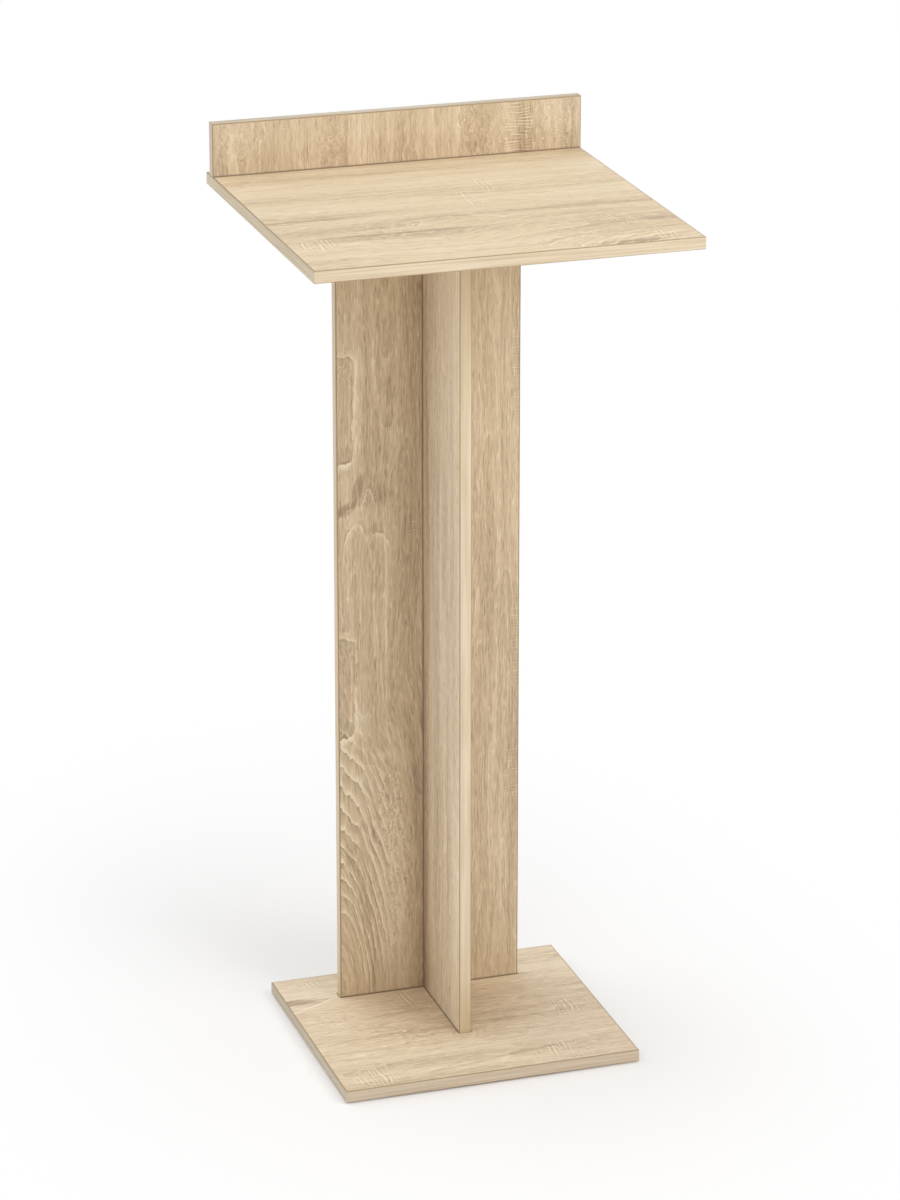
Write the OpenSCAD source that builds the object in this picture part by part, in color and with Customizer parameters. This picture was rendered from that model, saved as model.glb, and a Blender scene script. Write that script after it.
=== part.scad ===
// Presentation lectern in edge-banded laminated chipboard: a flat desk top with an upright
// rail along its audience side, carried on a T-shaped column that stands on a base board.
// +Z is up, +Y points at the audience, and the origin is on the floor under the middle of
// the desk top. All sizes are in millimetres.

/* [Desk top] */
// Width of the desk top, across the speaker
top_w = 500; // [420:10:700]
// Depth of the desk top, from the speaker to the audience
top_d = 490; // [440:10:600]
// Height of the desk top's upper face above the floor
desk_h = 1132; // [900:1:1300]
// Depth of the desk top's overhang past the column, on the speaker's side
top_overhang_d = 180; // [120:5:220]

/* [Rail] */
// Height of the upright rail on the desk top
rail_h = 70; // [55:1:150]
// Gap between the rail's back face and the back edge of the desk top
rail_setback = 15; // [5:1:40]

/* [Column] */
// Width of the column's broad panel
panel_w = 250; // [200:5:320]
// Depth of the whole column, from the fin's front edge to the panel's back face
column_d = 170; // [140:5:200]

/* [Base] */
// Width of the base board
base_w = 400; // [340:10:600]
// Depth of the base board
base_d = 350; // [320:10:500]
// Depth of the base board's toe in front of the column, on the speaker's side
base_toe_d = 120; // [80:5:140]

/* [Board] */
// Thickness of every board
board_t = 16; // [16:1:25]
// Thickness of the plastic edge bands
band_t = 1; // [0.4:0.1:2]

/* [Confirmat screws] */
// Length of a confirmat screw, with its head
screw_l = 50; // [45:1:60]
// Diameter of the screw's countersunk head
screw_head_d = 10; // [9:0.5:11]
// Height of the countersunk head
screw_head_h = 3; // [2:0.5:4]
// Diameter of the plain shank, and over the thread's crests
screw_d = 7; // [6.4:0.1:7.4]
// Diameter of the thread's core
screw_core_d = 4.6; // [4:0.1:5]
// Distance between the thread's crests
screw_pitch = 3; // [2.5:0.1:4]
// Size of the hexagon socket across its flats
socket_af = 4; // [3:0.5:5]
// Depth of the hexagon socket
socket_depth = 3; // [2:0.5:4]
// Number of screws that hold the fin to the panel
fin_screw_count = 4; // [2:1:6]
// Distance of the outer fin screws from the column's ends
fin_screw_end = 99; // [60:1:200]
// Distance of the base screws from the panel's side edges
panel_screw_inset = 40; // [25:1:60]
// Distance of the base screws from the fin's front and back edges
fin_screw_inset = 37; // [25:1:50]
// Number of screws that hold the rail from below
rail_screw_count = 3; // [2:1:5]
// Distance of the outer rail screws from the rail's ends
rail_screw_end = 50; // [30:1:100]

/* [Screw caps] */
// Diameter of the cap over each fin screw
cap_d = 12; // [11:0.5:14]
// Thickness of the cap
cap_t = 1.2; // [0.8:0.1:2]
// Chamfer round the cap's face
cap_chamfer = 0.4; // [0.1:0.1:0.7]
// Length of the cap's peg in the screw's socket
cap_peg_l = 2; // [1:0.5:2.5]

/* [Dowels] */
// Diameter of a beech dowel
dowel_d = 8; // [6:1:10]
// Length of a dowel
dowel_l = 30; // [25:1:40]
// How deep a dowel sits in the desk top
dowel_in_top = 10; // [8:1:12]
// Chamfer on a dowel's ends
dowel_chamfer = 1; // [0.5:0.1:1.5]
// Distance between a dowel and the cam lock beside it
dowel_pitch = 32; // [25:1:40]

/* [Cam locks] */
// Diameter of the cam drum
cam_d = 15; // [14:0.5:16]
// How far the cam drum reaches past the bolt, which lies in the middle of the board
cam_tail = 4.5; // [4:0.1:5]
// Distance of the drum's centre below the desk top
cam_drop = 34; // [24:1:40]
// Distance of the panel's cam locks from its side edges
cam_inset = 50; // [35:1:60]
// Diameter of the bolt's ball head
ball_d = 6; // [5:0.1:6.4]
// Diameter of the bolt's neck
neck_d = 3; // [2.5:0.1:3.5]
// How far the neck reaches past the drum
neck_past = 0.6; // [0.4:0.1:1]
// Diameter of the bolt's shank
shank_d = 6; // [5:0.1:6.5]
// Length of the bolt's thread in the desk top
bolt_thread_l = 11; // [9:0.5:12]
// How far the cam draws the ball in over its half turn
cam_draw = 0.8; // [0.4:0.1:1.2]

/* [Glides] */
// Diameter of a plastic glide
glide_d = 20; // [16:1:30]
// Thickness of a glide
glide_t = 2; // [2:0.5:5]
// Chamfer round a glide's underside
glide_chamfer = 0.5; // [0.2:0.1:1]
// Distance of a glide's centre from the base's edges
glide_inset = 30; // [20:1:50]
// Diameter of the glide's nail
nail_d = 1.6; // [1.2:0.1:2]
// Length of the nail in the base board
nail_l = 13; // [10:1:14]

/* [Clearances] */
// Radial clearance round a plain shank, a dowel and a cam drum
fit_clear = 0.05; // [0.02:0.01:0.1]
// Clearance at the blind end of a bore
end_clear = 0.5; // [0.2:0.1:1]
// Radial clearance round the bolt's shank in the column's end
bolt_clear = 0.5; // [0.3:0.1:1]
// Clearance beside the bolt's neck in the drum's slot
neck_clear = 0.1; // [0.05:0.01:0.2]
// Clearance across the flats between a cap's peg and the socket
peg_clear = 0.1; // [0.05:0.01:0.2]

/* [Hidden] */
$fn = 48;

// Heights of the faces that the boards meet at
base_z = glide_t;
column_z = base_z + board_t;
top_z = desk_h - board_t;
column_l = top_z - column_z;

// Depth positions, with the desk top centred on the origin
top_front_y = -top_d / 2;
top_back_y = top_d / 2;
fin_front_y = top_front_y + top_overhang_d;
panel_back_y = fin_front_y + column_d;
panel_front_y = panel_back_y - board_t;
fin_d = panel_front_y - fin_front_y;
fin_mid_y = (fin_front_y + panel_front_y) / 2;
panel_mid_y = (panel_front_y + panel_back_y) / 2;
base_front_y = fin_front_y - base_toe_d;
rail_back_y = top_back_y - rail_setback;
rail_front_y = rail_back_y - board_t;
rail_mid_y = (rail_front_y + rail_back_y) / 2;

// Places of the fasteners
panel_screw_xs = [for (side = [-1, 1]) side * (panel_w / 2 - panel_screw_inset)];
base_fin_screw_ys = [fin_front_y + fin_screw_inset, panel_front_y - fin_screw_inset];
fin_screw_zs = [for (i = [0 : fin_screw_count - 1])
    column_z + fin_screw_end + i * (column_l - 2 * fin_screw_end) / (fin_screw_count - 1)];
rail_screw_xs = [for (i = [0 : rail_screw_count - 1])
    -top_w / 2 + rail_screw_end + i * (top_w - 2 * rail_screw_end) / (rail_screw_count - 1)];
rail_dowel_xs = [for (i = [0 : rail_screw_count - 2]) (rail_screw_xs[i] + rail_screw_xs[i + 1]) / 2];
cam_x = panel_w / 2 - cam_inset;
panel_dowel_xs = [-cam_x + dowel_pitch, cam_x - dowel_pitch];
fin_dowel_ys = [fin_mid_y - dowel_pitch, fin_mid_y + dowel_pitch];
cam_z = top_z - cam_drop;

// A screw's plain shank just passes the board that its head sits in
screw_thread_l = screw_l - board_t;
thread_flank = 0.8;
tip_l = 3;

// Cam lock: the bolt's thread, and the ball seat, slot and screwdriver recess of the drum
bolt_depth = board_t / 2;
cam_l = bolt_depth + cam_tail;
bolt_core_d = 4;
bolt_pitch = 2;
ball_seat_r = ball_d / 2 + fit_clear;
slot_half = neck_d / 2 + neck_clear;
neck_reach = cam_d / 2 + neck_past;
cam_recess_w = 1.6;
cam_recess_l = 7;
cam_recess_depth = 2.5;

// Glide nail's moulded-in head
nail_head_d = 5;
nail_head_t = 0.7;
nail_head_cover = 0.6;
nail_tip_l = 2;

laminate = "burlywood";
banding = "wheat";
cut = 1; // how far a cutting tool starts outside the face it opens

// A box given by its lowest and highest corners
module block(low, high) {
    translate(low)
        cube(high - low);
}

// Ring-shaped thread crests on a core, pointing down -Z from z = 0
module thread(core_d, crest_d, pitch, length) {
    core_r = core_d / 2;
    crest_r = crest_d / 2;
    rings = floor((length - tip_l) / pitch);
    rotate_extrude()
        polygon(concat(
            [[0, 0], [core_r, 0]],
            [for (i = [0 : rings - 1], step = [0 : 2])
                let (z = -(i + 0.5) * pitch)
                step == 0 ? [core_r, z + thread_flank] :
                step == 1 ? [crest_r, z] :
                [core_r, z - thread_flank]],
            [[core_r, tip_l - length], [core_r / 2, -length], [0, -length]]
        ));
}

// A confirmat screw with its head's face at z = 0, pointing down -Z
module confirmat() {
    difference() {
        union() {
            rotate_extrude()
                polygon([
                    [0, 0], [screw_head_d / 2, 0], [screw_d / 2, -screw_head_h],
                    [screw_d / 2, -board_t], [0, -board_t]
                ]);
            translate([0, 0, -board_t])
                thread(screw_core_d, screw_d, screw_pitch, screw_thread_l);
        }
        translate([0, 0, -socket_depth])
            cylinder(h = socket_depth + cut, d = socket_af / cos(30), $fn = 6);
    }
}

// What a confirmat screw takes out of the board that its head is sunk in
module confirmat_clearance() {
    head_r = screw_head_d / 2 + fit_clear;
    shank_r = screw_d / 2 + fit_clear;
    rotate_extrude()
        polygon([
            [0, cut], [head_r, cut], [head_r, 0], [shank_r, -screw_head_h],
            [shank_r, -board_t - cut], [0, -board_t - cut]
        ]);
}

// The hole that a confirmat screw's thread forms in the board behind
module confirmat_thread_hole() {
    translate([0, 0, -board_t])
        thread(screw_core_d, screw_d, screw_pitch, screw_thread_l);
}

// Where the base's screws go, heads down: a list of their places on the floor plan
function base_panel_places() = [for (x = panel_screw_xs) [x, panel_mid_y]];
function base_fin_places() = [for (y = base_fin_screw_ys) [0, y]];

// Puts its children at each base screw, with -Z turned up into the column
module at_base_screws(places) {
    for (p = places)
        translate([p[0], p[1], base_z])
            rotate([180, 0, 0])
                children();
}

// Puts its children at each fin screw, with -Z turned towards the speaker
module at_fin_screws() {
    for (z = fin_screw_zs)
        translate([0, panel_back_y, z])
            rotate([-90, 0, 0])
                children();
}

// Puts its children at each rail screw, with -Z turned up into the rail
module at_rail_screws() {
    for (x = rail_screw_xs)
        translate([x, rail_mid_y, top_z])
            rotate([180, 0, 0])
                children();
}

// A beech dowel with its lower end at z = 0
module dowel() {
    r = dowel_d / 2;
    rotate_extrude()
        polygon([
            [0, 0], [r - dowel_chamfer, 0], [r, dowel_chamfer], [r, dowel_l - dowel_chamfer],
            [r - dowel_chamfer, dowel_l], [0, dowel_l]
        ]);
}

module dowel_bore() {
    translate([0, 0, -end_clear])
        cylinder(h = dowel_l + 2 * end_clear, r = dowel_d / 2 + fit_clear);
}

// Puts its children at the lower ends of the dowels between the column and the desk top
module at_column_dowels(places) {
    for (p = places)
        translate([p[0], p[1], top_z + dowel_in_top - dowel_l])
            children();
}

function panel_dowel_places() = [for (x = panel_dowel_xs) [x, panel_mid_y]];
function fin_dowel_places() = [for (y = fin_dowel_ys) [0, y]];

module at_rail_dowels() {
    for (x = rail_dowel_xs)
        translate([x, rail_mid_y, desk_h - dowel_in_top])
            children();
}

// A cam lock's own frame: z = 0 at the board's face, +Z out of the bore's mouth, +X along
// the bolt. The heading turns that frame about the row's +Z: 90 faces the speaker and 180
// faces +X.
module at_cam(place, heading) {
    translate(place)
        rotate([0, -90, heading])
            children();
}

module at_panel_cam(side) {
    at_cam([side * cam_x, panel_front_y, cam_z], 90)
        children();
}

module at_fin_cam() {
    at_cam([board_t / 2, fin_mid_y, cam_z], 180)
        children();
}

// The drum, locked. Its slot runs from the bolt at angle 0 back to the ball's way in at
// angle -180, and the seat behind the slot widens by cam_draw on the way.
module cam_drum() {
    steps = 24;
    reach = cam_d / 2 + cut;
    color("silver")
        difference() {
            translate([0, 0, -cam_l])
                cylinder(h = cam_l, d = cam_d);
            // the ball's seat, a spiral over the half turn
            translate([0, 0, -bolt_depth - ball_seat_r])
                linear_extrude(2 * ball_seat_r)
                    union() {
                        circle(r = ball_seat_r);
                        polygon(concat([[0, 0]], [for (i = [0 : steps])
                            let (a = -180 * i / steps, r = ball_seat_r + cam_draw * i / steps)
                            [r * cos(a), r * sin(a)]]));
                        translate([-reach, -ball_seat_r])
                            square([reach, 2 * ball_seat_r]);
                    }
            // the slot that the bolt's neck runs in
            translate([0, 0, -bolt_depth - slot_half])
                linear_extrude(2 * slot_half)
                    union() {
                        polygon(concat([[0, 0]], [for (i = [0 : steps])
                            let (a = -180 * i / steps)
                            [reach * cos(a), reach * sin(a)]]));
                        translate([0, -slot_half])
                            square([reach, 2 * slot_half]);
                    }
            // the cross recess for the screwdriver
            for (turn = [0, 90])
                rotate([0, 0, turn])
                    translate([-cam_recess_l / 2, -cam_recess_w / 2, -cam_recess_depth])
                        cube([cam_recess_l, cam_recess_w, cam_recess_depth + cut]);
        }
}

// The bolt, with its ball at the drum's centre and its thread in the desk top
module cam_bolt() {
    color("gainsboro")
        translate([0, 0, -bolt_depth])
            rotate([0, 90, 0]) {
                sphere(d = ball_d);
                cylinder(h = neck_reach, d = neck_d);
                translate([0, 0, neck_reach])
                    cylinder(h = cam_drop - neck_reach, d = shank_d);
                translate([0, 0, cam_drop])
                    rotate([180, 0, 0])
                        thread(bolt_core_d, shank_d, bolt_pitch, bolt_thread_l);
            }
}

// What the cam lock takes out of the column: the drum's bore and the bolt's bore
module cam_bores() {
    translate([0, 0, -cam_l - end_clear])
        cylinder(h = cam_l + end_clear + cut, r = cam_d / 2 + fit_clear);
    translate([0, 0, -bolt_depth])
        rotate([0, 90, 0])
            cylinder(h = cam_drop + cut, r = shank_d / 2 + bolt_clear);
}

// What the bolt takes out of the desk top
module cam_bolt_thread_hole() {
    translate([cam_drop, 0, -bolt_depth])
        rotate([0, 90, 0])
            rotate([180, 0, 0])
                thread(bolt_core_d, shank_d, bolt_pitch, bolt_thread_l);
}

// Puts its children at each glide, on the floor plan at the floor's height
module at_glides() {
    for (x = [-1, 1], y = [base_front_y + glide_inset, base_front_y + base_d - glide_inset])
        translate([x * (base_w / 2 - glide_inset), y, 0])
            children();
}

// The glide's nail: its head is moulded into the glide, its point up in the base
module nail() {
    head_top = nail_head_cover + nail_head_t;
    tip_z = base_z + nail_l;
    rotate_extrude()
        polygon([
            [0, nail_head_cover], [nail_head_d / 2, nail_head_cover], [nail_head_d / 2, head_top],
            [nail_d / 2, head_top], [nail_d / 2, tip_z - nail_tip_l], [0, tip_z]
        ]);
}

// Base board and its bands
module base_board() {
    color(laminate)
        difference() {
            block(
                [-base_w / 2 + band_t, base_front_y + band_t, base_z],
                [base_w / 2 - band_t, base_front_y + base_d - band_t, column_z]
            );
            at_base_screws(concat(base_panel_places(), base_fin_places()))
                confirmat_clearance();
            at_glides()
                nail();
        }
}

// The long bands run the board's whole width and cover the ends of the short ones
module base_band_along(y) {
    color(banding)
        block([-base_w / 2, y, base_z], [base_w / 2, y + band_t, column_z]);
}

module base_band_across(x) {
    color(banding)
        block([x, base_front_y + band_t, base_z], [x + band_t, base_front_y + base_d - band_t, column_z]);
}

// Column: the broad panel, and the fin that stands on the panel's middle
module column_panel() {
    color(laminate)
        difference() {
            block(
                [-panel_w / 2 + band_t, panel_front_y, column_z],
                [panel_w / 2 - band_t, panel_back_y, top_z]
            );
            at_base_screws(base_panel_places())
                confirmat_thread_hole();
            at_fin_screws()
                confirmat_clearance();
            at_column_dowels(panel_dowel_places())
                dowel_bore();
            for (side = [-1, 1])
                at_panel_cam(side)
                    cam_bores();
        }
}

module panel_band(x) {
    color(banding)
        block([x, panel_front_y, column_z], [x + band_t, panel_back_y, top_z]);
}

module column_fin() {
    color(laminate)
        difference() {
            block([-board_t / 2, fin_front_y + band_t, column_z], [board_t / 2, panel_front_y, top_z]);
            at_base_screws(base_fin_places())
                confirmat_thread_hole();
            at_fin_screws()
                confirmat_thread_hole();
            at_column_dowels(fin_dowel_places())
                dowel_bore();
            at_fin_cam()
                cam_bores();
        }
}

module fin_band_front() {
    color(banding)
        block([-board_t / 2, fin_front_y, column_z], [board_t / 2, fin_front_y + band_t, top_z]);
}

// Desk top and its bands
module top_board() {
    color(laminate)
        difference() {
            block(
                [-top_w / 2 + band_t, top_front_y + band_t, top_z],
                [top_w / 2 - band_t, top_back_y - band_t, desk_h]
            );
            at_rail_screws()
                confirmat_clearance();
            at_rail_dowels()
                dowel_bore();
            at_column_dowels(concat(panel_dowel_places(), fin_dowel_places()))
                dowel_bore();
            for (side = [-1, 1])
                at_panel_cam(side)
                    cam_bolt_thread_hole();
            at_fin_cam()
                cam_bolt_thread_hole();
        }
}

module top_band_along(y) {
    color(banding)
        block([-top_w / 2, y, top_z], [top_w / 2, y + band_t, desk_h]);
}

module top_band_across(x) {
    color(banding)
        block([x, top_front_y + band_t, top_z], [x + band_t, top_back_y - band_t, desk_h]);
}

// Rail and its bands: the upper one covers the ends of the other two
module rail_board() {
    color(laminate)
        difference() {
            block(
                [-top_w / 2 + band_t, rail_front_y, desk_h],
                [top_w / 2 - band_t, rail_back_y, desk_h + rail_h - band_t]
            );
            at_rail_screws()
                confirmat_thread_hole();
            at_rail_dowels()
                dowel_bore();
        }
}

module rail_band_upper() {
    color(banding)
        block(
            [-top_w / 2, rail_front_y, desk_h + rail_h - band_t],
            [top_w / 2, rail_back_y, desk_h + rail_h]
        );
}

module rail_band_end(x) {
    color(banding)
        block([x, rail_front_y, desk_h], [x + band_t, rail_back_y, desk_h + rail_h - band_t]);
}

// A glide without its nail, resting on the floor
module glide_disc() {
    r = glide_d / 2;
    rotate_extrude()
        polygon([[0, 0], [r - glide_chamfer, 0], [r, glide_chamfer], [r, glide_t], [0, glide_t]]);
}

// Glides under the base
module glides() {
    color("saddlebrown")
        at_glides()
            difference() {
                glide_disc();
                nail();
            }
}

module glide_nails() {
    color("silver")
        at_glides()
            nail();
}

// Screws and caps
module base_screws(places) {
    color("goldenrod")
        at_base_screws(places)
            confirmat();
}

module fin_screws() {
    color("goldenrod")
        at_fin_screws()
            confirmat();
}

module fin_screw_caps() {
    r = cap_d / 2;
    color("tan")
        at_fin_screws() {
            rotate_extrude()
                polygon([[0, 0], [r, 0], [r, cap_t - cap_chamfer], [r - cap_chamfer, cap_t], [0, cap_t]]);
            translate([0, 0, -cap_peg_l])
                cylinder(h = cap_peg_l, d = (socket_af - peg_clear) / cos(30), $fn = 6);
        }
}

module rail_screws() {
    color("goldenrod")
        at_rail_screws()
            confirmat();
}

// Dowels
module column_dowels(places) {
    color("peru")
        at_column_dowels(places)
            dowel();
}

module rail_dowels() {
    color("peru")
        at_rail_dowels()
            dowel();
}

// Cam locks
module panel_cam_bolts() {
    for (side = [-1, 1])
        at_panel_cam(side)
            cam_bolt();
}

module fin_cam_bolt() {
    at_fin_cam()
        cam_bolt();
}

module panel_cam(side) {
    at_panel_cam(side)
        cam_drum();
}

module fin_cam() {
    at_fin_cam()
        cam_drum();
}

base_board();
base_band_along(base_front_y);  // base_band_front
base_band_along(base_front_y + base_d - band_t);  // base_band_back
base_band_across(-base_w / 2);  // base_band_left
base_band_across(base_w / 2 - band_t);  // base_band_right
column_panel();
panel_band(-panel_w / 2);  // panel_band_left
panel_band(panel_w / 2 - band_t);  // panel_band_right
column_fin();
fin_band_front();
top_board();
top_band_along(top_front_y);  // top_band_front
top_band_along(top_back_y - band_t);  // top_band_back
top_band_across(-top_w / 2);  // top_band_left
top_band_across(top_w / 2 - band_t);  // top_band_right
rail_board();
rail_band_upper();
rail_band_end(-top_w / 2);  // rail_band_left
rail_band_end(top_w / 2 - band_t);  // rail_band_right
glides();
glide_nails();
base_screws(base_panel_places());  // base_panel_screws
base_screws(base_fin_places());  // base_fin_screws
fin_screws();
fin_screw_caps();
rail_screws();
column_dowels(panel_dowel_places());  // panel_dowels
column_dowels(fin_dowel_places());  // fin_dowels
rail_dowels();
panel_cam_bolts();
fin_cam_bolt();
panel_cam(-1);  // panel_cam_left
panel_cam(1);  // panel_cam_right
fin_cam();
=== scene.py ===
import math

import bmesh
import bpy
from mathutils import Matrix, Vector


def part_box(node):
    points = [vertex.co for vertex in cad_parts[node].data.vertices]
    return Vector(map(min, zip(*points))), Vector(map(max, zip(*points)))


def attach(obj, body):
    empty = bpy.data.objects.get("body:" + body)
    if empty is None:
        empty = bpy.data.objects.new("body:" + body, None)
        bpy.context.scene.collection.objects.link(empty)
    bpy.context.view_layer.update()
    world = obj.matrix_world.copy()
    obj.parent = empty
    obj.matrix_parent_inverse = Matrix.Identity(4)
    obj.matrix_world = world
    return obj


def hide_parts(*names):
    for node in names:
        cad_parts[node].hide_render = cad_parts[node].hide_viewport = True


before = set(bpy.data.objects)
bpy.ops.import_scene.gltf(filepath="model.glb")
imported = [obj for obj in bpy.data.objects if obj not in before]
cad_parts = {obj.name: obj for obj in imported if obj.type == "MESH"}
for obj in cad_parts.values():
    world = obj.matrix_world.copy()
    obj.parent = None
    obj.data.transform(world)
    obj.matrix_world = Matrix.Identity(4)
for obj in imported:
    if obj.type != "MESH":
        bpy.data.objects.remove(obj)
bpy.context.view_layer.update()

MM = 0.001
AXES = "xyz"
# Further than any place on the lectern lies from another, in millimetres
ENDLESS = 1e6
BAND_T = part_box("rail_band_upper")[1].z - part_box("rail_band_upper")[0].z

# The trimming cutter rounds a band's outer edges over almost its whole thickness
TRIM_RADIUS = 0.9 * BAND_T
TRIM_SEGMENTS = 4
SMOOTH_ANGLE = math.radians(35)

# The laminate is a printed skin on a chipboard core
SKIN_T = 0.3 * MM
GLUE_LINE_W = 0.6 * MM
# Painted shade beside a joint between two boards fades out over this width
JOINT_SHADE_W = 2.6 * MM

# The fibres bend aside for an arch by this many millimetres at most
FLOW_LIMIT = 48.0

# The footprint of each board with the bands that lengthen it
FOOTPRINTS = {
    "top_board": ("top_board",),
    "base_board": ("base_board",),
    "column_panel": ("column_panel", "panel_band_left", "panel_band_right"),
    "column_fin": ("column_fin", "fin_band_front"),
    "rail_board": ("rail_board", "rail_band_left", "rail_band_right"),
}


# ---------------------------------------------------------------- Materials


def linear(code):
    """An sRGB hex colour as linear red, green, blue and alpha."""
    channels = [int(code[i : i + 2], 16) / 255 for i in (1, 3, 5)]
    return tuple(c / 12.92 if c <= 0.04045 else ((c + 0.055) / 1.055) ** 2.4 for c in channels) + (1.0,)


def add(tree, kind, settings=None, links=None):
    """Adds a node. A link's key is an input's name or number, and its value a node, a socket or a
    number."""
    node = tree.nodes.new("ShaderNode" + kind)
    for key, value in (settings or {}).items():
        setattr(node, key, value)
    for key, value in (links or {}).items():
        if isinstance(key, int):
            socket = node.inputs[key]
        else:
            socket = next(s for s in node.inputs if s.enabled and s.name == key)
        if isinstance(value, bpy.types.Node):
            value = next(s for s in value.outputs if s.enabled)
        if isinstance(value, bpy.types.NodeSocket):
            tree.links.new(value, socket)
        else:
            socket.default_value = value
    return node


def new_material(name):
    """A material with a bare Principled shader, its tree and the shader."""
    material = bpy.data.materials.new(name)
    material.use_nodes = True
    tree = material.node_tree
    return material, tree, tree.nodes["Principled BSDF"]


def in_millimetres(tree):
    """Object coordinates in millimetres."""
    place = add(tree, "TexCoord").outputs["Object"]
    return add(tree, "VectorMath", {"operation": "SCALE"}, {0: place, "Scale": 1 / MM})


def along_grain(tree, grain, across):
    """Millimetres along the grain, across it, and in depth, from an object's own coordinates."""
    parts = add(tree, "SeparateXYZ", links={0: in_millimetres(tree)})
    depth = next(a for a in AXES if a not in (grain, across))
    order = [parts.outputs[AXES.index(a)] for a in (grain, across, depth)]
    return add(tree, "CombineXYZ", links={0: order[0], 1: order[1], 2: order[2]})


def streaks(tree, place, length, width, seed, detail=2.0, roughness=0.5):
    """Noise around 0, in streaks of about this length and width in millimetres. Depth counts twelve
    times over, so the two faces of a board carry different prints."""
    own_part = (seed * 13.7, seed * 5.3, seed * 2.9)
    stretch = (1 / length, 1 / width, 12 / width)
    stretched = add(tree, "Mapping", links={"Vector": place, "Location": own_part, "Scale": stretch})
    noise = add(
        tree,
        "TexNoise",
        links={"Vector": stretched, "Scale": 1.0, "Detail": detail, "Roughness": roughness},
    )
    return add(tree, "Math", {"operation": "SUBTRACT"}, {0: noise.outputs[0], 1: 0.5})


def total(tree, *terms):
    """The sum of terms, each a product of patterns and, at its end, a number."""
    result = 0.0
    for pattern, *factors in terms:
        for factor in factors[:-1]:
            pattern = add(tree, "Math", {"operation": "MULTIPLY"}, {0: pattern, 1: factor})
        result = add(tree, "Math", {"operation": "MULTIPLY_ADD"}, {0: pattern, 1: factors[-1], 2: result})
    return result


def radius(tree, place, centre, reach, turn=0.0):
    """0 at a place on the board, and 1 on the ellipse that reaches so far along and across the grain.
    turn swings it off the grain, in degrees. Depth doesn't count."""
    swing = (0.0, 0.0, math.radians(turn))
    local = add(
        tree,
        "Mapping",
        {"vector_type": "TEXTURE"},
        {"Vector": place, "Location": (*centre, 0.0), "Rotation": swing, "Scale": (*reach, ENDLESS)},
    )
    return add(tree, "VectorMath", {"operation": "LENGTH"}, {0: local})


def beyond(tree, place, middle, half):
    """How far a place lies outside a box, in millimetres."""
    offset = add(tree, "VectorMath", {"operation": "SUBTRACT"}, {0: place, 1: middle})
    offset = add(tree, "VectorMath", {"operation": "ABSOLUTE"}, {0: offset})
    offset = add(tree, "VectorMath", {"operation": "SUBTRACT"}, {0: offset, 1: half})
    offset = add(tree, "VectorMath", {"operation": "MAXIMUM"}, {0: offset, 1: (0.0, 0.0, 0.0)})
    return add(tree, "VectorMath", {"operation": "LENGTH"}, {0: offset})


def spot(tree, place, centre, reach, turn=0.0):
    """1 in the middle of an ellipse on the board, and 0 from its rim on."""
    return add(
        tree,
        "MapRange",
        {"interpolation_type": "SMOOTHSTEP"},
        {"Value": radius(tree, place, centre, reach, turn), "From Min": 1.0, "From Max": 0.45},
    )


def ring_lines(tree, phase, crest):
    """Growth rings from a phase that grows by 1 from ring to ring: a thin pale line where each ring
    starts, a paler zone behind it, and darker wood just before the next. crest thins the line."""
    part = add(tree, "Math", {"operation": "FRACT"}, {0: phase})
    rest = add(tree, "Math", {"operation": "SUBTRACT"}, {0: 1.0, 1: part})
    line = add(tree, "Math", {"operation": "POWER"}, {0: rest, 1: crest})
    zone = add(tree, "Math", {"operation": "POWER"}, {0: rest, 1: 2.5})
    dark = add(tree, "Math", {"operation": "POWER"}, {0: part, 1: 6.0})
    return total(tree, (line, 1.5), (zone, 0.3), (dark, -0.6))


def patchy(tree, place, seed):
    """About 1, and less in chance patches, so that a line fades here and there."""
    patch = streaks(tree, place, 90, 15, seed, 1.0)
    return add(
        tree,
        "MapRange",
        links={"Value": patch, "From Min": -0.18, "From Max": 0.14, "To Min": 0.25, "To Max": 1.35},
    )


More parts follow.
